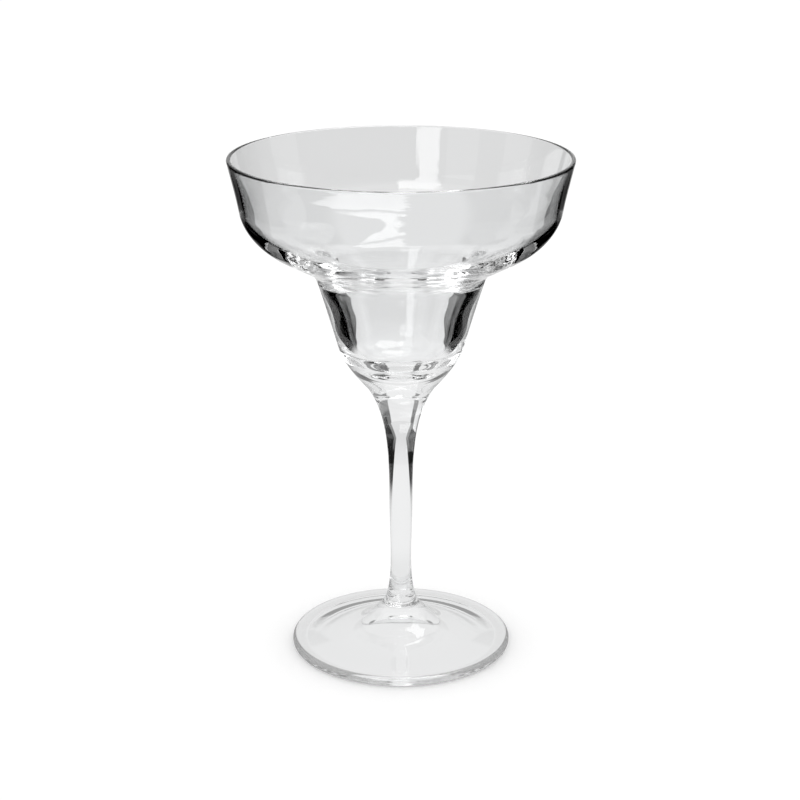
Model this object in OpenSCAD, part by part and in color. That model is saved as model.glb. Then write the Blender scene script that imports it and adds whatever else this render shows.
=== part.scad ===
// A margarita glass: a blown bowl, a solid drawn stem and a flat foot, welded end to end.
// Every piece is a turned form about the Z axis, and the foot stands on z = 0.

/* [Whole glass] */
// Height of the glass; the upper shank of the stem takes what the other heights leave
glass_h = 174.7; // [165:0.5:190]

/* [Foot] */
// Diameter of the foot across its rounded edge
foot_d = 76.8; // [68:0.4:86]
// Thickness of the foot at its edge, which is fully rounded
foot_edge_t = 3.5; // [2.8:0.1:4.2]
// Width of the flat ring that the foot stands on
foot_ring_w = 3; // [2:0.1:5]
// Height of the domed hollow under the foot, at its middle
foot_hollow_h = 9.8; // [9:0.1:10.6]
// Diameter of the dome's flattish top
dome_d = 10; // [8:0.2:12]
// Drop of the dome from its middle to the edge of that top
dome_drop = 0.9; // [0.6:0.1:1.2]
// Diameter of the raised cone, where its slope meets the disc
cone_d = 26; // [22:0.5:32]
// Height of the foot's top face at the edge of the cone
cone_base_h = 8.4; // [7:0.1:10]
// Glass between that edge and the hollow below it
cone_base_t = 4; // [3:0.1:5]
// Diameter of the cone's neck, where it turns up into the stem
neck_d = 13.6; // [12:0.1:17]
// Height of the cone's neck
neck_h = 14.6; // [12.5:0.1:16.5]

/* [Stem] */
// Height of the weld between the foot and the stem
foot_weld_h = 20; // [18:0.5:24]
// Diameter of that weld
foot_weld_d = 9; // [8:0.1:10.5]
// Diameter of the stem's waist, its thinnest place
waist_d = 7.1; // [6:0.1:8]
// Height of the waist above the foot's weld
waist_rise = 12; // [9:0.5:15]
// Diameter of the lower shank, part of the way from the waist to the trumpet
shank_d = 7.8; // [7.2:0.1:8.8]
// Height of that place above the waist
shank_rise = 16; // [12:0.5:20]
// Diameter of the shank where the trumpet starts
trumpet_start_d = 8.9; // [8.4:0.1:10.4]
// Length of the trumpet, up to the weld with the bowl
trumpet_l = 25; // [20:1:32]
// Diameter of the weld between the stem and the bowl
bowl_weld_d = 23; // [20:0.2:26]

/* [Well] */
// Diameter of the well at its belly, just above its rounded bottom
belly_d = 43; // [40:0.2:47]
// Height of the belly above the bowl's weld
belly_rise = 15; // [12.5:0.5:18]
// Diameter of the well at its mouth, under the shoulder
mouth_d = 56.2; // [52:0.2:60]
// Height of the mouth above the belly
mouth_rise = 22.2; // [18:0.2:28]
// Thickness of the glass under the middle of the well's floor
base_t = 6.9; // [5.4:0.1:7.8]
// Diameter of the well's floor, where it turns up into the wall
floor_d = 23.9; // [21:0.1:26]
// Height of that turn above the middle of the floor
floor_rise = 3.9; // [3.3:0.1:4.5]
// Width of the glass wall, measured level, at the belly
belly_t = 5.7; // [4.8:0.1:6.6]
// Inside diameter of the well a little above the belly
well_d = 37.3; // [34:0.1:39]
// Height of that place above the belly
well_rise = 8.5; // [7.4:0.1:9.8]
// Width of the glass wall, measured level, at the mouth
mouth_t = 5.2; // [4.4:0.1:6]

/* [Cup] */
// Height of the throat's bend, from the mouth up to the shoulder
throat_rise = 4.9; // [4:0.1:6]
// Width of the throat's bend, from the mouth out to the shoulder
throat_run = 3.4; // [2.8:0.1:4.5]
// Diameter of the cup where the shoulder ends and turns up
shoulder_d = 84.6; // [78:0.2:90]
// Height of the turn, from the shoulder up to the wall
turn_rise = 14.2; // [12:0.1:17]
// Diameter of the cup at the bottom of its wall
cup_d = 107.5; // [103:0.5:110]
// Height of the wall, from there up to the rim
wall_rise = 17.7; // [12:0.1:30]
// Diameter of the cup across its rim
rim_d = 115; // [112:0.5:120]
// Thickness of the rounded rim
rim_t = 1.4; // [1.1:0.1:2]
// Wall of the cup at the bottom of its side
wall_t = 1.7; // [1.2:0.1:2.2]
// Glass where the shoulder turns up
shoulder_t = 2.5; // [1.8:0.1:3]
// Glass at the throat's bend
throat_t = 3; // [2.4:0.1:3.6]

/* [Slopes] */
// Slope of the foot's top face at its edge, in degrees
disc_slope = 8; // [4:1:11]
// Slope of the hollow at the foot's ring, in degrees
ring_slope = 12; // [9:1:14]
// Slope of the hollow under the edge of the cone, in degrees
under_slope = 18; // [15:1:21]
// Slope of the hollow at the edge of the dome's top, in degrees
dome_slope = 24; // [20:1:28]
// Slope at the edge of the cone, in degrees
cone_slope = 36; // [30:1:40]
// Slope at the neck of the cone, in degrees
neck_slope = 46; // [42:1:54]
// Slope of the foot and the stem at their weld, in degrees
foot_weld_slope = 79; // [74:1:84]
// Slope of the shank where the trumpet starts, in degrees
trumpet_start_slope = 86; // [83:1:88]
// Slope of the trumpet at the bowl's weld, in degrees
trumpet_slope = 55; // [50:1:64]
// Slope of the bowl's bottom at the weld, in degrees
bottom_slope = 49; // [42:1:54]
// Slope of the well's wall at its belly, in degrees
belly_slope = 74; // [68:1:78]
// Slope of the well's wall at its mouth, in degrees
mouth_slope = 72; // [68:1:80]
// Slope of the inner face where the well's floor turns up, in degrees
floor_slope = 52; // [46:1:58]
// Slope of the inner face level with the belly, in degrees
belly_in_slope = 63; // [58:1:68]
// Slope of the inner face from above the belly to the mouth, in degrees
well_slope = 74.5; // [71:0.5:77]
// Slope of the shoulder, in degrees
shoulder_slope = 28; // [22:1:34]
// Slope at the bottom of the cup's wall, in degrees
wall_slope = 80; // [76:1:84]
// Slope of the wall just under the rim, in degrees
rim_slope = 77; // [72:1:80]

/* [Hidden] */
$fn = 180;
// Steps that a curve is drawn in, and those of a half round
curve_steps = 8;
round_steps = 12;
half_turn = 180;
quarter_turn = 90;
glass_tint = [0.86, 0.89, 0.91];
glass_alpha = 0.45;

foot_r = foot_d / 2;
edge_r = foot_edge_t / 2;
hollow_r = foot_r - edge_r - foot_ring_w;
foot_weld_r = foot_weld_d / 2;
waist_h = foot_weld_h + waist_rise;
shank_h = waist_h + shank_rise;
rim_r = rim_t / 2;
bowl_weld_r = bowl_weld_d / 2;
throat_r = mouth_d / 2 + throat_run;
shoulder_r = shoulder_d / 2;
shoulder_rise = (shoulder_r - throat_r) * tan(shoulder_slope);
wall_h = glass_h - wall_rise;
shoulder_h = wall_h - turn_rise;
throat_h = shoulder_h - shoulder_rise;
mouth_h = throat_h - throat_rise;
belly_h = mouth_h - mouth_rise;
bowl_weld_h = belly_h - belly_rise;
trumpet_start_h = bowl_weld_h - trumpet_l;

// Places on the bowl's outer face
belly = [belly_d / 2, belly_h];
mouth = [mouth_d / 2, mouth_h];
throat = [throat_r, throat_h];
shoulder = [shoulder_r, shoulder_h];
wall = [cup_d / 2, wall_h];
// Middle of the round that closes the rim
rim = [rim_d / 2 - rim_r, glass_h - rim_r];

// The way that a line at this slope runs, and the way square to it, to its left
function along(slope) = [cos(slope), sin(slope)];
function inward(slope) = [-sin(slope), cos(slope)];

// A smooth curve from p to q that leaves at one slope and arrives at the other; p is left out
function curve(p, p_slope, q, q_slope) =
    let (reach = norm(q - p))
    [for (i = [1:curve_steps])
        let (t = i / curve_steps)
        (2 * t ^ 3 - 3 * t ^ 2 + 1) * p + (t ^ 3 - 2 * t ^ 2 + t) * reach * along(p_slope)
        + (3 * t ^ 2 - 2 * t ^ 3) * q + (t ^ 3 - t ^ 2) * reach * along(q_slope)];

// A half round about c, from the right of a line at this slope over its end to its left
function half_round(c, r, slope) =
    [for (i = [0:round_steps]) c + r * along(slope - quarter_turn + half_turn * i / round_steps)];

// The glass: clear, with the faint cool tint that its thick places show
module glass() {
    color(glass_tint, glass_alpha) children();
}

// The bowl: a narrow well with a thick base, a sloping shoulder and a wide cup with a fine rim
module bowl() {
    outer = concat(
        [[bowl_weld_r, bowl_weld_h]],
        curve([bowl_weld_r, bowl_weld_h], bottom_slope, belly, belly_slope),
        curve(belly, belly_slope, mouth, mouth_slope),
        curve(mouth, mouth_slope, throat, shoulder_slope),
        curve(throat, shoulder_slope, shoulder, shoulder_slope),
        curve(shoulder, shoulder_slope, wall, wall_slope),
        curve(wall, wall_slope, rim - rim_r * inward(rim_slope), rim_slope));
    lip = half_round(rim, rim_r, rim_slope);
    floor_middle = [0, bowl_weld_h + base_t];
    floor_edge = floor_middle + [floor_d / 2, floor_rise];
    belly_in = belly - [belly_t, 0];
    well_in = [well_d / 2, belly_h + well_rise];
    mouth_in = mouth - [mouth_t, 0];
    throat_in = throat + throat_t * inward(shoulder_slope);
    shoulder_in = shoulder + shoulder_t * inward(shoulder_slope);
    wall_in = wall + wall_t * inward(wall_slope);
    inner = concat(
        [floor_middle],
        curve(floor_middle, 0, floor_edge, floor_slope),
        curve(floor_edge, floor_slope, belly_in, belly_in_slope),
        curve(belly_in, belly_in_slope, well_in, well_slope),
        curve(well_in, well_slope, mouth_in, well_slope),
        curve(mouth_in, well_slope, throat_in, shoulder_slope),
        curve(throat_in, shoulder_slope, shoulder_in, shoulder_slope),
        curve(shoulder_in, shoulder_slope, wall_in, wall_slope),
        curve(wall_in, wall_slope, rim + rim_r * inward(rim_slope), rim_slope));
    inner_down = [for (i = [len(inner) - 2:-1:0]) inner[i]];
    over_lip = [for (i = [1:round_steps]) lip[i]];
    glass() rotate_extrude()
        polygon(concat([[0, bowl_weld_h]], outer, over_lip, inner_down));
}

// The stem: a solid rod, thin at its waist, that opens into a trumpet under the bowl
module stem() {
    foot_end = [foot_weld_r, foot_weld_h];
    waist = [waist_d / 2, waist_h];
    shank = [shank_d / 2, shank_h];
    trumpet_start = [trumpet_start_d / 2, trumpet_start_h];
    bowl_end = [bowl_weld_r, bowl_weld_h];
    shank_slope = atan2(trumpet_start_h - waist_h, (trumpet_start_d - waist_d) / 2);
    side = concat(
        [foot_end],
        curve(foot_end, half_turn - foot_weld_slope, waist, quarter_turn),
        curve(waist, quarter_turn, shank, shank_slope),
        curve(shank, shank_slope, trumpet_start, trumpet_start_slope),
        curve(trumpet_start, trumpet_start_slope, bowl_end, trumpet_slope));
    glass() rotate_extrude()
        polygon(concat([[0, foot_weld_h]], side, [[0, bowl_weld_h]]));
}

// The foot: a thin disc with a rounded edge, hollow below, that rises to a cone under the stem
module foot() {
    dome_top = [0, foot_hollow_h];
    dome_edge = dome_top + [dome_d / 2, -dome_drop];
    under_cone = [cone_d / 2, cone_base_h - cone_base_t];
    hollow_edge = [hollow_r, 0];
    edge_middle = [foot_r - edge_r, edge_r];
    top_end = edge_middle + edge_r * along(quarter_turn - disc_slope);
    cone_end = [cone_d / 2, cone_base_h];
    neck_end = [neck_d / 2, neck_h];
    weld_end = [foot_weld_r, foot_weld_h];
    edge = [for (i = [0:round_steps])
        edge_middle + edge_r * along(-quarter_turn + (half_turn - disc_slope) * i / round_steps)];
    top = concat(
        curve(top_end, half_turn - disc_slope, cone_end, half_turn - cone_slope),
        curve(cone_end, half_turn - cone_slope, neck_end, half_turn - neck_slope),
        curve(neck_end, half_turn - neck_slope, weld_end, half_turn - foot_weld_slope));
    glass() rotate_extrude()
        polygon(concat(
            [dome_top],
            curve(dome_top, 0, dome_edge, -dome_slope),
            curve(dome_edge, -dome_slope, under_cone, -under_slope),
            curve(under_cone, -under_slope, hollow_edge, -ring_slope),
            edge,
            top,
            [[0, foot_weld_h]]));
}

bowl();
stem();
foot();
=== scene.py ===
# %% [markdown]
# # A margarita glass, lathed from its profile
#
# The real glass is three pieces of glass welded hot, end to end: a blown bowl, a solid drawn
# stem and a pressed foot. All three are turned forms about one upright axis. The construction
# model already holds them at their real size, so this lesson loads it as a fixed frame and then
# makes the same three forms again, finely enough for light to bend through them smoothly. A clear
# glass shows its facets as broken streaks, so a mesh that is fine enough for a solid object is
# too coarse here.

# %% Load the frame
import math

import bpy
import numpy as np
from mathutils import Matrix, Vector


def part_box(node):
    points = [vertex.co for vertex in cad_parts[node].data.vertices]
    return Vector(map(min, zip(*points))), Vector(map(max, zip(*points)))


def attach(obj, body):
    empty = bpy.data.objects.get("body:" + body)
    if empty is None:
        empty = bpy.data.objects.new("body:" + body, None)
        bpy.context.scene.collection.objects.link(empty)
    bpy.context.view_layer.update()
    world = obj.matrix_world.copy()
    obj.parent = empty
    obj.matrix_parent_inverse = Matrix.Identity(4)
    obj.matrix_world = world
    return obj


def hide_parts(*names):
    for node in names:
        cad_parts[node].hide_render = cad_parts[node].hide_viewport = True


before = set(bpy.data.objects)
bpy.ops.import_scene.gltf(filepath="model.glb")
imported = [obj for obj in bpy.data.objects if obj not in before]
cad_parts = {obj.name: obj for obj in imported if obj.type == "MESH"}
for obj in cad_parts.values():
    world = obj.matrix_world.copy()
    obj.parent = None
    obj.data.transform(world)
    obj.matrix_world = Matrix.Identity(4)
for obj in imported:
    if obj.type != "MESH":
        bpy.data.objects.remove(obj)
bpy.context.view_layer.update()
print("frame nodes:", sorted(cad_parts))

# %% [markdown]
# ## Sizes
#
# Each size is written once, in metres or degrees. A glass is measured like this on a bench: the
# diameters and heights of the places where its outline changes its way, and the slope there.
# The overall sizes come from the frame, so the dressed glass always fits the construction model.

# %% Sizes of the whole glass
MM = 0.001
foot_high, stem_high, bowl_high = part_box("foot")[1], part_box("stem")[1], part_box("bowl")[1]
foot_r = float(foot_high[0])
foot_weld_h = float(foot_high[2])
bowl_weld_h = float(stem_high[2])
rim_r_outer = float(bowl_high[0])
glass_h = float(bowl_high[2])
print("rim", round(2000 * rim_r_outer, 1), "mm, foot", round(2000 * foot_r, 1), "mm, height",
      round(1000 * glass_h, 1), "mm")

# %% Sizes of the foot
foot_edge_t = 3.5 * MM
foot_ring_w = 3 * MM
foot_hollow_h = 9.8 * MM
dome_r, dome_h, dome_slope = 5 * MM, 8.9 * MM, 24
under_r, under_h, under_slope = 13 * MM, 4.4 * MM, 18
ring_slope = 12
cone_r = 13 * MM
cone_base_h = 8.4 * MM
neck_r = 6.8 * MM
neck_h = 14.6 * MM
foot_weld_r = 4.5 * MM
disc_slope, cone_slope, neck_slope, foot_weld_slope = 8, 36, 46, 79
print("foot", round(foot_weld_h / MM, 1), "mm tall, its edge", round(foot_edge_t / MM, 1), "mm thick")

# %% Sizes of the stem
waist_r = 3.55 * MM
waist_rise = 12 * MM
shank_r = 3.9 * MM
shank_rise = 16 * MM
trumpet_start_r = 4.45 * MM
trumpet_l = 25 * MM
bowl_weld_r = 11.5 * MM
trumpet_start_slope, trumpet_slope = 86, 55
print("stem", round((bowl_weld_h - foot_weld_h) / MM, 1), "mm long,", round(2 * waist_r / MM, 1),
      "mm across at its waist")

# %% Sizes of the bowl
belly_r, belly_rise, belly_t = 21.5 * MM, 15 * MM, 5.7 * MM
mouth_r, mouth_rise, mouth_t = 28.1 * MM, 22.2 * MM, 5.2 * MM
throat_run, throat_rise, throat_t = 3.4 * MM, 4.9 * MM, 3 * MM
shoulder_r, shoulder_t = 42.3 * MM, 2.5 * MM
turn_rise = 14.2 * MM
cup_r, wall_t = 53.75 * MM, 1.7 * MM
rim_t = 1.4 * MM
bottom_slope, belly_slope, mouth_slope, shoulder_slope, wall_slope, rim_slope = 49, 74, 72, 28, 80, 77
print("bowl", round((glass_h - bowl_weld_h) / MM, 1), "mm tall")

# %% Sizes of the bowl's inner face
base_t = 6.9 * MM
floor_r, floor_rise, floor_slope = 11.95 * MM, 3.9 * MM, 52
belly_in_slope = 63
well_r, well_rise, well_slope = 18.65 * MM, 8.5 * MM, 74.5
print("solid glass under the well:", round(base_t / MM, 1), "mm")

# %% [markdown]
# ## Curves for a profile
#
# A glassmaker's outline has no corners, so each stretch between two measured places is a cubic
# that leaves the first place at its slope and arrives at the second place at its own. A chain of
# such stretches is smooth, and it needs only the places and slopes themselves. The step along
# each stretch is short where the outline turns, because a bend drawn with long steps would show
# in the glass as a row of bright and dark bands.


# %% Directions
def along(slope):
    """The way a line at this slope runs: cosine across, sine up."""
    return np.array([math.cos(math.radians(slope)), math.sin(math.radians(slope))])


def inward(slope):
    """The way square to that line, to its left: minus sine across, cosine up."""
    return np.array([-math.sin(math.radians(slope)), math.cos(math.radians(slope))])


# %% Curves
def curve(start, start_slope, end, end_slope, step):
    """A cubic from start to end, without its first point. Each end's slope is weighted by the
    straight distance between them, and the four weights are the usual Hermite ones."""
    start, end = np.asarray(start, float), np.asarray(end, float)
    reach = np.linalg.norm(end - start)
    count = max(4, int(round(reach / step)))
    t = np.linspace(0, 1, count + 1)[1:, None]
    return ((2 * t**3 - 3 * t**2 + 1) * start
            + (t**3 - 2 * t**2 + t) * reach * along(start_slope)
            + (3 * t**2 - 2 * t**3) * end
            + (t**3 - t**2) * reach * along(end_slope))


def chain(start, slope, places):
    """The first place, then a cubic to each next one: a place, its slope and the step to it."""
    points = [[start]]
    for place, place_slope, step in places:
        points.append(curve(start, slope, place, place_slope, step))
        start, slope = place, place_slope
    return np.vstack(points)


def arc(middle, radius, first, last, count):
    """Points on a circle about middle, from one direction to the other, both in degrees."""
    turn = np.radians(np.linspace(first, last, count + 1))[:, None]
    return np.asarray(middle) + radius * np.hstack([np.cos(turn), np.sin(turn)])


# %% [markdown]
# ## Turning a profile into a piece
#
# A lathe carries the profile round the axis. The profile is a list of rings, each a radius and a
# height, and the grid of points is every ring at every angle, worked out as one array. The first
# and last points lie on the axis, where all the angles fall on one point, so each is a single
# pole closed by a fan of triangles. The flat weld faces get their own material, and the edge
# round them is marked sharp so that the smooth shading of the side runs right up to the weld.

# %% The lathe's points and faces
TURNS = 256


def ring_points(profile):
    """Rings at radius r and height z become points r cos a, r sin a, z for each angle a, and the
    two poles come after them."""
    angle = np.linspace(0, 2 * np.pi, TURNS, endpoint=False)
    rings = profile[1:-1]
    radius = np.repeat(rings[:, :1], TURNS, axis=1)
    height = np.repeat(rings[:, 1:], TURNS, axis=1)
    points = np.stack([radius * np.cos(angle), radius * np.sin(angle), height], axis=2)
    poles = np.array([[0, 0, profile[0, 1]], [0, 0, profile[-1, 1]]])
    return np.vstack([points.reshape(-1, 3), poles])


def ring_faces(rings):
    """Point j of ring i is number i times TURNS plus j. It makes a four-sided face with the next
    point of its ring and the same two of the next ring. A fan joins each end ring to its pole."""
    ring, turn = np.meshgrid(np.arange(rings - 1), np.arange(TURNS), indexing="ij")
    after = (turn + 1) % TURNS
    quads = np.stack([ring * TURNS + turn, ring * TURNS + after,
                      (ring + 1) * TURNS + after, (ring + 1) * TURNS + turn], axis=2)
    turn = np.arange(TURNS)
    after = (turn + 1) % TURNS
    first_pole, last_pole = rings * TURNS, rings * TURNS + 1
    last_ring = (rings - 1) * TURNS
    first_fan = np.stack([np.full(TURNS, first_pole), after, turn], axis=1)
    last_fan = np.stack([np.full(TURNS, last_pole), last_ring + turn, last_ring + after], axis=1)
    return quads.reshape(-1, 4), first_fan, last_fan


# %% The lathe's welds
def mark_welds(mesh, rings, welds):
    """Gives the fans at the welded ends the second material, and marks the edges round them as
    sharp: those whose two points are both on the end ring."""
    last_ring = quad_count = (rings - 1) * TURNS
    in_weld = np.zeros(len(mesh.polygons), np.int32)
    ends = np.empty(2 * len(mesh.edges), np.int32)
    mesh.edges.foreach_get("vertices", ends)
    ends = ends.reshape(-1, 2)
    sharp = np.zeros(len(ends), bool)
    if "first" in welds:
        in_weld[quad_count:quad_count + TURNS] = 1
        sharp |= (ends < TURNS).all(axis=1)
    if "last" in welds:
        in_weld[quad_count + TURNS:] = 1
        sharp |= ((ends >= last_ring) & (ends < last_ring + TURNS)).all(axis=1)
    mesh.polygons.foreach_set("material_index", in_weld)
    mesh.attributes.new("sharp_edge", "BOOLEAN", "EDGE").data.foreach_set("value", sharp)


# %% The lathe
def lathe(name, profile, welds):
    """The profile's rings and its two poles as one closed piece. welds says which ends are
    welded to another piece."""
    rings = len(profile) - 2
    quads, first_fan, last_fan = ring_faces(rings)
    mesh = bpy.data.meshes.new(name)
    mesh.from_pydata(ring_points(profile), [], quads.tolist() + first_fan.tolist() + last_fan.tolist())
    mesh.polygons.foreach_set("use_smooth", np.ones(len(mesh.polygons), bool))
    mark_welds(mesh, rings, welds)
    mesh.update()
    mesh.validate()
    piece = bpy.data.objects.new(name, mesh)
    bpy.context.scene.collection.objects.link(piece)
    print(name, "has", 2 * len(quads) + 2 * TURNS, "triangles")
    return piece


# %% [markdown]
# ## The foot
#
# The foot is a thin disc that rises to a cone in the middle. It is hollow below, so that the
# glass stands on a narrow ring and doesn't rock. It could be carved out of a cylinder, but a
# turned form is wholly told by one line, and here that line needs only a few places: the hollow's
# middle, the ring, the round edge, the cone and the weld. Its edge is an arc, because a pressed
# edge is fire-polished round.

# %% Make the foot
FOOT_EDGE_STEPS = 28


def foot_profile():
    """From the middle of the hollow under the foot, out over its flat ring and rounded edge, and
    back in over the top face and the cone, to the weld."""
    edge_r = foot_edge_t / 2
    hollow_r = foot_r - edge_r - foot_ring_w
    edge_middle = np.array([foot_r - edge_r, edge_r])
    top_end = edge_middle + edge_r * along(90 - disc_slope)
    cone_end, neck_end = (cone_r, cone_base_h), (neck_r, neck_h)
    weld_end = (foot_weld_r, foot_weld_h)
    return np.vstack([
        [[0, foot_hollow_h]],
        curve((0, foot_hollow_h), 0, (dome_r, dome_h), -dome_slope, 0.4 * MM),
        curve((dome_r, dome_h), -dome_slope, (under_r, under_h), -under_slope, 0.4 * MM),
        curve((under_r, under_h), -under_slope, (hollow_r, 0), -ring_slope, 0.7 * MM),
        arc(edge_middle, edge_r, -90, 90 - disc_slope, FOOT_EDGE_STEPS),
        curve(top_end, 180 - disc_slope, cone_end, 180 - cone_slope, 0.6 * MM),
        curve(cone_end, 180 - cone_slope, neck_end, 180 - neck_slope, 0.3 * MM),
        curve(neck_end, 180 - neck_slope, weld_end, 180 - foot_weld_slope, 0.2 * MM),
        [[0, foot_weld_h]]])


foot = lathe("foot_glass", foot_profile(), ["last"])

# %% [markdown]
# ## The stem
#
# The stem is a solid rod, drawn out while the glass is soft. It is thinnest just above the foot
# and opens into a trumpet under the bowl. A tube along a path with a changing radius would look
# much the same, but the lathe closes both ends with flat faces that fit the other two pieces
# exactly, and that is what lets the light pass from one piece to the next.


# %% Make the stem
def stem_profile():
    """Up the side of the stem from the foot's weld, past the waist and the shank, to the trumpet
    and the bowl's weld."""
    waist = np.array([waist_r, foot_weld_h + waist_rise])
    shank = waist + [shank_r - waist_r, shank_rise]
    start = np.array([trumpet_start_r, bowl_weld_h - trumpet_l])
    end = np.array([bowl_weld_r, bowl_weld_h])
    shank_slope = math.degrees(math.atan2(start[1] - waist[1], start[0] - waist[0]))
    return np.vstack([
        [[0, foot_weld_h], [foot_weld_r, foot_weld_h]],
        curve((foot_weld_r, foot_weld_h), 180 - foot_weld_slope, waist, 90, 0.4 * MM),
        curve(waist, 90, shank, shank_slope, 0.6 * MM),
        curve(shank, shank_slope, start, trumpet_start_slope, 0.6 * MM),
        curve(start, trumpet_start_slope, end, trumpet_slope, 0.35 * MM),
        [[0, bowl_weld_h]]])


stem = lathe("stem_glass", stem_profile(), ["first", "last"])

# %% [markdown]
# ## The bowl
#
# The bowl is blown in one piece: a narrow well below, a sloping shoulder and a wide cup above.
# Its wall is thin at the rim, thick in the well and thickest under it. A shell of one even
# thickness would lose the bright and dark bands by which the eye reads thick glass, so the
# profile runs up the outside, over the round rim and down an inside of its own.

# %% Make the bowl
LIP_STEPS = 20


def outer_places(belly, mouth, throat, shoulder, wall, lip_end):
    """The places up the bowl's outer face, each with its slope and the step to it."""
    return [(belly, belly_slope, 0.7 * MM), (mouth, mouth_slope, 0.9 * MM),
            (throat, shoulder_slope, 0.4 * MM), (shoulder, shoulder_slope, 0.33 * MM),
            (wall, wall_slope, 0.55 * MM), (lip_end, rim_slope, 0.9 * MM)]


def inner_places(floor, belly, mouth, throat, shoulder, wall, lip_end):
    """The places up its inner face. The cup's are its outer ones, moved square to their slope by
    the glass there. The well's wall is far thicker, so its inner face has places of its own."""
    return [(floor + [floor_r, floor_rise], floor_slope, 0.4 * MM),
            (belly - [belly_t, 0], belly_in_slope, 0.4 * MM),
            ((well_r, belly[1] + well_rise), well_slope, 0.5 * MM),
            (mouth - [mouth_t, 0], well_slope, 0.9 * MM),
            (throat + throat_t * inward(shoulder_slope), shoulder_slope, 0.4 * MM),
            (shoulder + shoulder_t * inward(shoulder_slope), shoulder_slope, 0.35 * MM),
            (wall + wall_t * inward(wall_slope), wall_slope, 0.4 * MM),
            (lip_end, rim_slope, 0.7 * MM)]


def bowl_profile():
    """From the weld up the outside of the well, the shoulder and the cup, over the round rim, and
    down the inside to the middle of the well's floor."""
    belly = np.array([belly_r, bowl_weld_h + belly_rise])
    mouth = np.array([mouth_r, belly[1] + mouth_rise])
    throat = mouth + [throat_run, throat_rise]
    shoulder_rise = (shoulder_r - throat[0]) * math.tan(math.radians(shoulder_slope))
    shoulder = np.array([shoulder_r, throat[1] + shoulder_rise])
    wall = np.array([cup_r, shoulder[1] + turn_rise])
    lip_r = rim_t / 2
    lip = np.array([rim_r_outer - lip_r, glass_h - lip_r])
    lip_out, lip_in = lip - lip_r * inward(rim_slope), lip + lip_r * inward(rim_slope)
    floor = np.array([0, bowl_weld_h + base_t])
    outside = chain((bowl_weld_r, bowl_weld_h), bottom_slope,
                    outer_places(belly, mouth, throat, shoulder, wall, lip_out))
    inside = chain(floor, 0, inner_places(floor, belly, mouth, throat, shoulder, wall, lip_in))
    over_lip = arc(lip, lip_r, rim_slope - 90, rim_slope + 90, LIP_STEPS)[1:-1]
    return np.vstack([[[0, bowl_weld_h]], outside, over_lip, inside[::-1]])


bowl = lathe("bowl_glass", bowl_profile(), ["first"])

# %% [markdown]
# ## Glass
#
# Clear glass is a surface that bends light and mirrors a little of it, more at a glancing angle.
# The Principled shader with full transmission does both. A faint cool colour stands for the
# iron in the melt. The surface of such glass is never quite true, so a slow wave in the bump, one
# or two hundredths of a millimetre high, bends what is seen through it. The mesh could carry the
# wave too, but it is far too low to show in an outline, so a bump does all that is needed.

# %% Glass material
WAVES_PER_METRE = 45
GLASS_COLOUR = (0.988, 0.993, 0.996, 1)
GLASS_IOR = 1.52


def glass(name, depth):
    """depth is the height of the slow wave in the surface, in metres."""
    material = bpy.data.materials.new(name)
    material.use_nodes = True
    nodes, links = material.node_tree.nodes, material.node_tree.links
    shader = nodes["Principled BSDF"]
    shader.inputs["Base Color"].default_value = GLASS_COLOUR
    shader.inputs["Roughness"].default_value = 0
    shader.inputs["IOR"].default_value = GLASS_IOR
    shader.inputs["Transmission Weight"].default_value = 1
    place = nodes.new("ShaderNodeTexCoord")
    wave = nodes.new("ShaderNodeTexNoise")
    wave.inputs["Scale"].default_value = WAVES_PER_METRE
    wave.inputs["Detail"].default_value = 1
    bump = nodes.new("ShaderNodeBump")
    bump.inputs["Strength"].default_value = 1
    bump.inputs["Distance"].default_value = depth
    links.new(place.outputs["Object"], wave.inputs["Vector"])
    links.new(wave.outputs["Fac"], bump.inputs["Height"])
    links.new(bump.outputs["Normal"], shader.inputs["Normal"])
    print(name, "has a wave", round(depth / MM, 3), "mm high")
    return material


# %% Weld material
def weld():
    """Inside a weld there is no surface, so its faces let every ray straight through."""
    material = bpy.data.materials.new("weld")
    material.use_nodes = True
    nodes, links = material.node_tree.nodes, material.node_tree.links
    nodes.remove(nodes["Principled BSDF"])
    clear = nodes.new("ShaderNodeBsdfTransparent")
    links.new(clear.outputs[0], nodes["Material Output"].inputs["Surface"])
    return material


# %% Dress the pieces
weld_face = weld()
blown = glass("blown_glass", 0.018 * MM)
drawn = glass("drawn_glass", 0.02 * MM)
pressed = glass("pressed_glass", 0.008 * MM)
for piece, material, node in ((bowl, blown, "bowl"), (stem, drawn, "stem"), (foot, pressed, "foot")):
    piece.data.materials.append(material)
    piece.data.materials.append(weld_face)
    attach(piece, "root")
    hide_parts(node)

# %% [markdown]
# ## Studio
#
# Clear glass has no colour of its own to show: every tone in it is a piece of the surroundings,
# bent or mirrored. So a glass is photographed by arranging what stands around it. Here a white
# table runs straight away behind the glass and widens into a white backdrop, and both of its
# sides are left dark. The thin middle of each wall looks straight through to the white. Where
# the wall turns edge-on, its view bends out past the table's side to grey and then to black, and
# that draws the dark outline that makes the glass readable on white.
#
# Real cards and cloths could be modelled for this. Here the table is one material on a plain
# floor that works out its light from where a ray lands, so that each of its edges is one soft
# step, and nothing can get into the picture. The same arrangement is laid out again, in a simpler
# form, for someone who walks round the glass, so that the other sides read as well. Rays straight
# from the camera see plain white, with the real shadow left in.
#
# Places on the table are in metres from the glass's axis, across or ahead of someone who faces
# the table's way. A pair of places is one soft edge: where it begins and where it ends.


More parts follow.
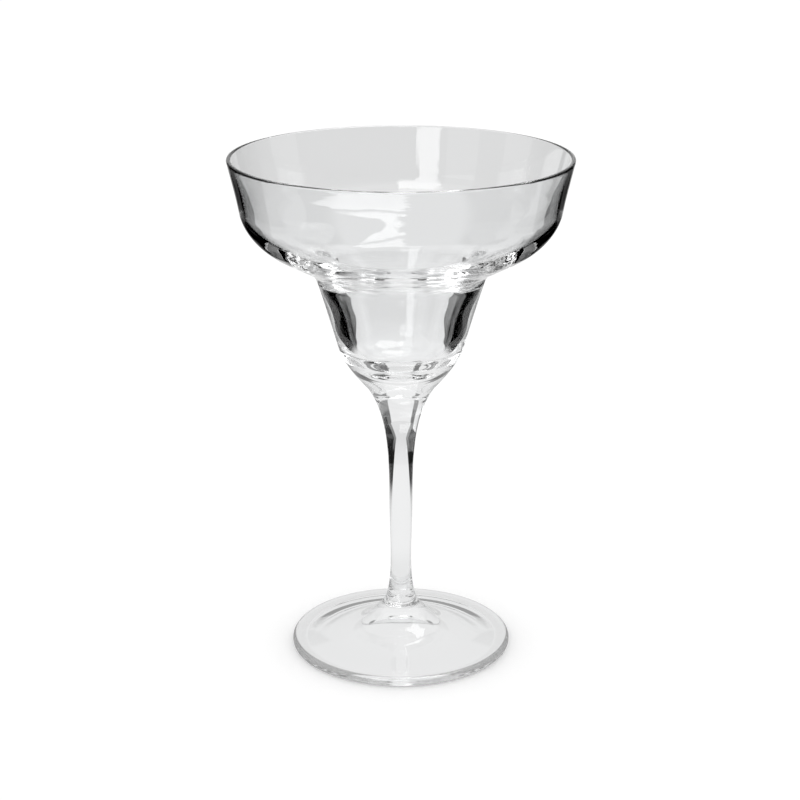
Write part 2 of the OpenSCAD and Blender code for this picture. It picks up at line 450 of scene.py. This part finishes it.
# %% Numbers that a ray looks up
class Field:
    """A number that the shader works out for each ray. Adding or multiplying Fields adds the
    Math node that does it, so that the studio below reads as plain sums."""

    def __init__(self, tree, socket):
        self.tree, self.socket = tree, socket

    def math(self, operation, *values):
        node = self.tree.nodes.new("ShaderNodeMath")
        node.operation = operation
        for slot, value in zip(node.inputs, (self, *values)):
            if isinstance(value, Field):
                self.tree.links.new(value.socket, slot)
            else:
                slot.default_value = value
        return Field(self.tree, node.outputs[0])

    def __add__(self, other):
        return self.math("ADD", other)

    def __sub__(self, other):
        return self.math("SUBTRACT", other)

    def __mul__(self, other):
        return self.math("MULTIPLY", other)

    def over(self, other):
        """The number divided by the other."""
        return self.math("DIVIDE", other)

    def most(self, other):
        """The greater of the two."""
        return self.math("MAXIMUM", other)

    def size(self):
        """The number without its sign."""
        return self.math("ABSOLUTE")

    def rest(self):
        """One minus the number."""
        return self * -1.0 + 1.0

    def step(self, low, high, first=0.0, last=1.0):
        """A soft step from first to last while the number goes from low to high."""
        node = self.tree.nodes.new("ShaderNodeMapRange")
        node.interpolation_type = "SMOOTHSTEP"
        self.tree.links.new(self.socket, node.inputs["Value"])
        for name, number in (("From Min", low), ("From Max", high), ("To Min", first), ("To Max", last)):
            node.inputs[name].default_value = number
        return Field(self.tree, node.outputs[0])

    def until(self, low, high, value=1.0):
        """The value up to low, fading to nothing at high."""
        return self.step(low, high, value, 0)


# %% Where a ray is, and what it has met
def place_fields(tree, coordinate):
    """The three coordinates of what is looked up: a place on the floor, or a way to the sky."""
    source = tree.nodes.new("ShaderNodeTexCoord")
    split = tree.nodes.new("ShaderNodeSeparateXYZ")
    tree.links.new(source.outputs[coordinate], split.inputs[0])
    return [Field(tree, socket) for socket in split.outputs]


def distance(x, y):
    """From the axis: the root of x squared plus y squared."""
    return (x * x + y * y).math("SQRT")


def turned(x, y, compass):
    """Across and ahead of someone at the axis who faces this compass bearing."""
    c, s = math.cos(math.radians(compass)), math.sin(math.radians(compass))
    return x * c - y * s, x * s + y * c


def bearing(across, ahead):
    """Degrees to either side of straight ahead."""
    return across.math("ARCTAN2", ahead).math("DEGREES")


def ray_fields(tree):
    """Three numbers about the ray, each 1 or 0: whether it came through a surface last, whether
    one mirrored it last, and whether it has been mirrored at all, which the soft step makes of
    the count of mirrorings."""
    path = tree.nodes.new("ShaderNodeLightPath")
    through = Field(tree, path.outputs["Is Transmission Ray"])
    glossy = Field(tree, path.outputs["Is Glossy Ray"])
    return through, glossy, Field(tree, path.outputs["Glossy Depth"]).step(0.4, 0.6)


# %% The table in the photograph's view
MAIN_WAY = 45
WIDENS_FROM = 0.44
AT_AXIS = (-0.01, 0.01)
STRIP_SHIFT, STRIP_EDGE, STRIP_WIDENS = 0.004, (0.101, 0.105), 0.5
GREY_EDGE, GREY_WIDENS, GREY_FROM = (0.15, 0.165), 0.72, (0.26, 0.32)
GREY_GROWS, GREY_NEAR, GREY_FAR = (0.3, 0.45), 0.15, 0.3
FOLD_FROM, FOLD_TO, FOLD_GREY = (0.4, 0.44), (0.52, 0.58), 0.08


def main_table(across, ahead):
    """A white strip a little over 20 cm wide, its grey side, and the widening of both where the
    backdrop begins. The fold below the backdrop is seen dimly past both sides."""
    off = (across + STRIP_SHIFT).size()
    beyond = (ahead - WIDENS_FROM).most(0.0)
    strip = (off - beyond * STRIP_WIDENS).until(*STRIP_EDGE)
    grey = (off - beyond * GREY_WIDENS).until(*GREY_EDGE)
    grey = grey * ahead.step(*GREY_FROM) * ahead.step(*GREY_GROWS, GREY_NEAR, GREY_FAR)
    fold = ahead.step(*FOLD_FROM, 0, FOLD_GREY) * ahead.until(*FOLD_TO)
    return strip.most(grey).most(fold) * ahead.step(*AT_AXIS)


# %% The tables for the other views
STEEP_WAY, SIDE_WAY, BACK_WAY, FRONT_WAY = -45, -90, 135, 0
BESIDE_GLASS, BEYOND_FOOT, WIDENS_BY = (0.035, 0.045), (0.05, 0.06), 0.3
FAR_FROM = (1.1, 1.2)
FAN_DEGREES, FAN_WHITE = (11.5, 12.5), 0.9
DIM_FAN_DEGREES, DIM_FAN_WHITE = (34, 36), 0.1
SIDE_STRIP_EDGE, SIDE_STRIP_WIDENS = (0.03, 0.05), 0.08
SIDE_STRIP_FROM, SIDE_STRIP_WHITE = (0.3, 0.36), 0.8


def plain_table(across, ahead, half, near, far):
    """A table that is narrow beside the glass, wide from near, and widens on to far."""
    off = across.size()
    widening = off - (ahead - WIDENS_FROM).most(0.0) * WIDENS_BY
    wide = widening.until(half, half + 0.01) * ahead.step(near - 0.02, near + 0.02)
    strip = off.until(*BESIDE_GLASS).most(wide)
    return strip * ahead.step(*BEYOND_FOOT) * ahead.until(far, far + 0.02)


def far_table(across, ahead, reach):
    """The table for a level view, which meets it only from afar: a white fan in a dim one."""
    off = bearing(across, ahead).size()
    fan = off.until(*FAN_DEGREES, FAN_WHITE) + off.until(*DIM_FAN_DEGREES, DIM_FAN_WHITE)
    return fan * reach.step(*FAR_FROM)


def other_tables(x, y, reach):
    """Two plain tables for the views from above, two far ones for the level views, and a narrow
    strip for one of these, which widens slowly."""
    others = plain_table(*turned(x, y, STEEP_WAY), half=0.09, near=0.22, far=0.7)
    others = others.most(plain_table(*turned(x, y, BACK_WAY), half=0.105, near=0.28, far=1.6))
    others = others.most(far_table(*turned(x, y, FRONT_WAY), reach))
    across, ahead = turned(x, y, SIDE_WAY)
    others = others.most(far_table(across, ahead, reach))
    narrow = (across.size() - ahead * SIDE_STRIP_WIDENS).until(*SIDE_STRIP_EDGE, SIDE_STRIP_WHITE)
    return others.most(narrow * ahead.step(*SIDE_STRIP_FROM))


# %% How bright the table is
WHITE_ROUND_FOOT = (0.125, 0.18)
BEFORE_REACH, BEFORE_AHEAD, BEFORE_EDGE = (0.36, 0.42), (-0.02, 0.0), (0.17, 0.21)
GLOW_FALLS, NEAR_GLOW, FAR_GLOW = (0.15, 0.45), 0.9, 0.765
GLOW_RISES, FOOT_GLOW = (0.05, 0.1), 0.92
CONTACT_FROM, CONTACT_TO, CONTACT_SHADE = (0.0362, 0.038), (0.042, 0.055), 0.25
LOSS_TO, MIRROR_LOSS = (0.15, 0.3), -0.65


def table_light(tree):
    """The whole table as glass shows it, as a strength for each place. The other views' tables
    count only for rays that come through glass. The table before the glass, on the camera's side,
    counts only for rays that have been mirrored."""
    x, y, _ = place_fields(tree, "Object")
    through, _, mirrored = ray_fields(tree)
    reach = distance(x, y)
    across, ahead = turned(x, y, MAIN_WAY)
    white = reach.until(*WHITE_ROUND_FOOT).most(main_table(across, ahead))
    white = white.most(other_tables(x, y, reach) * through)
    before = reach.until(*BEFORE_REACH) * ahead.until(*BEFORE_AHEAD)
    before = before * across.size().until(*BEFORE_EDGE)
    white = white.most(before * mirrored)

    # The light falls off with the distance, and a little under the foot.
    glow = reach.step(*GLOW_FALLS, NEAR_GLOW, FAR_GLOW) * reach.step(*GLOW_RISES, FOOT_GLOW, 1)
    # A painted shadow: the table is darker in a ring round the foot's edge, on the camera's side.
    painted_contact_shadow = reach.step(*CONTACT_FROM, 0, CONTACT_SHADE) * reach.until(*CONTACT_TO)
    painted_contact_shadow = painted_contact_shadow * ahead.until(*AT_AXIS)
    # A ray that a face mirrored last sees less of the table close by.
    loss = through.rest() * reach.until(*LOSS_TO, MIRROR_LOSS)
    return white * glow * painted_contact_shadow.rest() * (loss + 1.0)


# %% The ground
MATT_GREY = (0.8, 0.8, 0.8, 1)
SHADOW_FADES, SHADOW_NEAR, SHADOW_FAR = (0.034, 0.06), 1.0, 0.3
CAMERA_WHITE = 1.04


def camera_ground(tree):
    """What the camera sees: a share of matt white, which takes the real shadow, and the rest of
    plain light. The share is whole under the foot and smaller from there on."""
    x, y, _ = place_fields(tree, "Object")
    share = distance(x, y).step(*SHADOW_FADES, SHADOW_NEAR, SHADOW_FAR)
    shaded = tree.nodes.new("ShaderNodeBsdfDiffuse")
    tree.links.new(share.socket, shaded.inputs["Color"])
    white = tree.nodes.new("ShaderNodeEmission")
    tree.links.new((share * -1.0 + CAMERA_WHITE).socket, white.inputs["Strength"])
    both = tree.nodes.new("ShaderNodeAddShader")
    tree.links.new(white.outputs[0], both.inputs[0])
    tree.links.new(shaded.outputs[0], both.inputs[1])
    return both


def choice(tree, factor, otherwise, chosen):
    """The first shader where the factor is 0, and the second where it is 1."""
    mix = tree.nodes.new("ShaderNodeMixShader")
    tree.links.new(factor, mix.inputs["Fac"])
    tree.links.new(otherwise.outputs[0], mix.inputs[1])
    tree.links.new(chosen.outputs[0], mix.inputs[2])
    return mix


def ground():
    """The camera's ground for rays from the camera, the table's light for rays off the glass, and
    a matt grey for all others."""
    material = bpy.data.materials.new("ground")
    material.use_nodes = True
    tree = material.node_tree
    tree.nodes.remove(tree.nodes["Principled BSDF"])
    table = tree.nodes.new("ShaderNodeEmission")
    tree.links.new(table_light(tree).socket, table.inputs["Strength"])
    matt = tree.nodes.new("ShaderNodeBsdfDiffuse")
    matt.inputs["Color"].default_value = MATT_GREY
    path = tree.nodes.new("ShaderNodeLightPath")
    plain = choice(tree, path.outputs["Is Camera Ray"], matt, camera_ground(tree))
    through, glossy, _ = ray_fields(tree)
    final = choice(tree, through.most(glossy).socket, plain, table)
    tree.links.new(final.outputs[0], tree.nodes["Material Output"].inputs["Surface"])
    return material


# %% Floor
FLOOR_REACH = 3.0
bpy.ops.mesh.primitive_circle_add(vertices=128, radius=FLOOR_REACH, fill_type="NGON", location=(0, 0, 0))
floor = bpy.context.active_object
floor.name = "floor"
floor.data.materials.append(ground())
print("floor", 2 * FLOOR_REACH, "m across, with", len(floor.data.materials[0].node_tree.nodes), "nodes")

# %% [markdown]
# ## Sky and lamps
#
# Past the table stands the backdrop, white ahead and dark to the sides, and over everything is a
# pale ceiling. The lamps are soft boxes behind the photographer and above the glass. They show
# only as what the glass mirrors: a tall pale strip in the cup's back wall, and the ragged pale
# clouds where that wall turns into the shoulder. Lamp objects could do this too, but here both
# are drawn on the world, where a slow noise can move their edges, as the uneven glass moves their
# reflections. Every other ray meets a plain white world, which lights the floor evenly.

# %% World
world = bpy.data.worlds.new("studio")
bpy.context.scene.world = world
world.use_nodes = True
tree = world.node_tree
tree.nodes.clear()
x, y, z = place_fields(tree, "Generated")
through, glossy, mirrored = ray_fields(tree)
lift = z.math("ARCSINE").math("DEGREES")

# %% Backdrops and ceiling
BACKDROP_WHITE, BACKDROP_GREY = 0.7, 0.17
WALL_DEGREES, WALL_LOW, WALL_HIGH = (4, 12), 0.02, 0.3
CEILING_DEGREES, CEILING_WHITE = (26, 32), 0.9


def backdrop(way, white_to, grey_to):
    """White out to one bearing on both sides of the way, and dark grey out to another."""
    off = bearing(*turned(x, y, way)).size()
    white = off.until(white_to - 1, white_to + 1, BACKDROP_WHITE)
    return white + off.until(grey_to - 2, grey_to + 2, BACKDROP_GREY)


sky = backdrop(MAIN_WAY, white_to=22, grey_to=35)
for way in (FRONT_WAY, STEEP_WAY, SIDE_WAY, BACK_WAY):
    sky = sky.most(backdrop(way, white_to=12, grey_to=30) * through)
dark_wall = lift.step(*WALL_DEGREES, WALL_LOW, WALL_HIGH)
ceiling = lift.step(*CEILING_DEGREES, 0, CEILING_WHITE)
sky = sky.most(dark_wall).most(ceiling)

# %% The lamps' ragged edges
RAGGED_SCALE = 9
RAGGED_DEGREES = 14
RAGGED_ACROSS, RAGGED_AHEAD = 0.28, 0.21
source = tree.nodes.new("ShaderNodeTexCoord")
noise = tree.nodes.new("ShaderNodeTexNoise")
noise.inputs["Scale"].default_value = RAGGED_SCALE
tree.links.new(source.outputs["Generated"], noise.inputs["Vector"])
ragged = Field(tree, noise.outputs["Fac"]) - 0.5

# %% Lamps
LEAST_LIFT = 0.3
BOX_SOFT, RIGHT_SOFT = 0.02, 0.1


def standing_box(way, half, low, high, strength):
    """A lamp behind the photographer, all in degrees: its way from straight ahead, half its
    width, and the heights of its lower and upper edge."""
    off = (bearing(*turned(x, y, MAIN_WAY + way)) + ragged * RAGGED_DEGREES).size()
    return off.until(half, half + 1, strength) * lift.step(low, low + 1) * lift.until(high, high + 1)


def ceiling_box(left, right, near, far, strength):
    """A lamp overhead, measured across and ahead on a ceiling one metre up: each is divided by
    the way's height, which is held to a least value, because a level ray meets no ceiling."""
    across, ahead = turned(x, y, MAIN_WAY)
    up = z.most(LEAST_LIFT)
    across = across.over(up) + ragged * RAGGED_ACROSS
    ahead = ahead.over(up) + ragged * RAGGED_AHEAD
    box = across.step(left - BOX_SOFT, left + BOX_SOFT)
    box = box * across.until(right - RIGHT_SOFT, right + RIGHT_SOFT, strength)
    box = box * ahead.step(near - BOX_SOFT, near + BOX_SOFT)
    return box * ahead.until(far - BOX_SOFT, far + BOX_SOFT)


low_box = standing_box(way=200, half=7.5, low=-4, high=25, strength=2.4)
high_box = standing_box(way=195, half=17, low=22, high=50, strength=2.6)
wide_box = ceiling_box(left=-0.04, right=0.75, near=-0.28, far=0.31, strength=3.6)
thin_box = ceiling_box(left=-0.03, right=0.3, near=0.37, far=0.515, strength=3.6)

# %% What each ray meets
# A ray that a face mirrored last sees the sky dimmer. Only a ray that has been mirrored sees the
# standing lamps, and only one that was mirrored last sees those overhead.
DIM_SKY = 0.7
seen = (sky * (through * (1 - DIM_SKY) + DIM_SKY) + low_box.most(high_box) * mirrored
        + wide_box.most(thin_box) * through.rest())
strength = through.most(glossy) * (seen - 1.0) + 1.0
light = tree.nodes.new("ShaderNodeBackground")
light.inputs["Color"].default_value = (1, 1, 1, 1)
tree.links.new(strength.socket, light.inputs["Strength"])
out = tree.nodes.new("ShaderNodeOutputWorld")
tree.links.new(light.outputs[0], out.inputs["Surface"])
print("the world has", len(tree.nodes), "nodes")

# %% [markdown]
# ## Camera
#
# The rim and the foot are true circles, and the two ellipses that they make in the photograph say
# how far off and how high the camera is, how steeply it looks and how long its lens is. The axis
# is one pixel beside the picture's middle, so the camera stands a little aside and needs no shift.
# The glass is alike from every side, so the camera may stand anywhere around it, and the studio
# is laid out along its way.

# %% Camera
FOCAL_PX = 1920.7
HALF_PX = 400
AXIS_PX = 401
CAMERA_BACK, CAMERA_UP, CAMERA_PITCH = 0.6259, 0.296, 18.216
camera_data = bpy.data.cameras.new("camera")
camera_data.sensor_width = 36
camera_data.lens = camera_data.sensor_width / 2 * FOCAL_PX / HALF_PX
camera = bpy.data.objects.new("camera", camera_data)
bpy.context.scene.collection.objects.link(camera)
beside = -(AXIS_PX - HALF_PX) / FOCAL_PX * CAMERA_BACK
facing = math.radians(MAIN_WAY)
camera.location = (beside * math.cos(facing) - CAMERA_BACK * math.sin(facing),
                   -beside * math.sin(facing) - CAMERA_BACK * math.cos(facing), CAMERA_UP)
camera.rotation_euler = (math.radians(90 - CAMERA_PITCH), 0, -facing)
bpy.context.scene.camera = camera
bpy.context.scene.view_settings.view_transform = "Standard"
print("camera", round(camera.location.length, 3), "m away, lens", round(camera_data.lens, 1), "mm")

# %% Bounces
# Light that is caught inside the cup's wall runs round its turn in many short steps before it
# comes out. With too few bounces allowed, the turn would be black.
BOUNCES = 30
cycles = bpy.context.scene.cycles
cycles.max_bounces = cycles.transmission_bounces = cycles.glossy_bounces = BOUNCES
print("a ray may bounce", BOUNCES, "times")
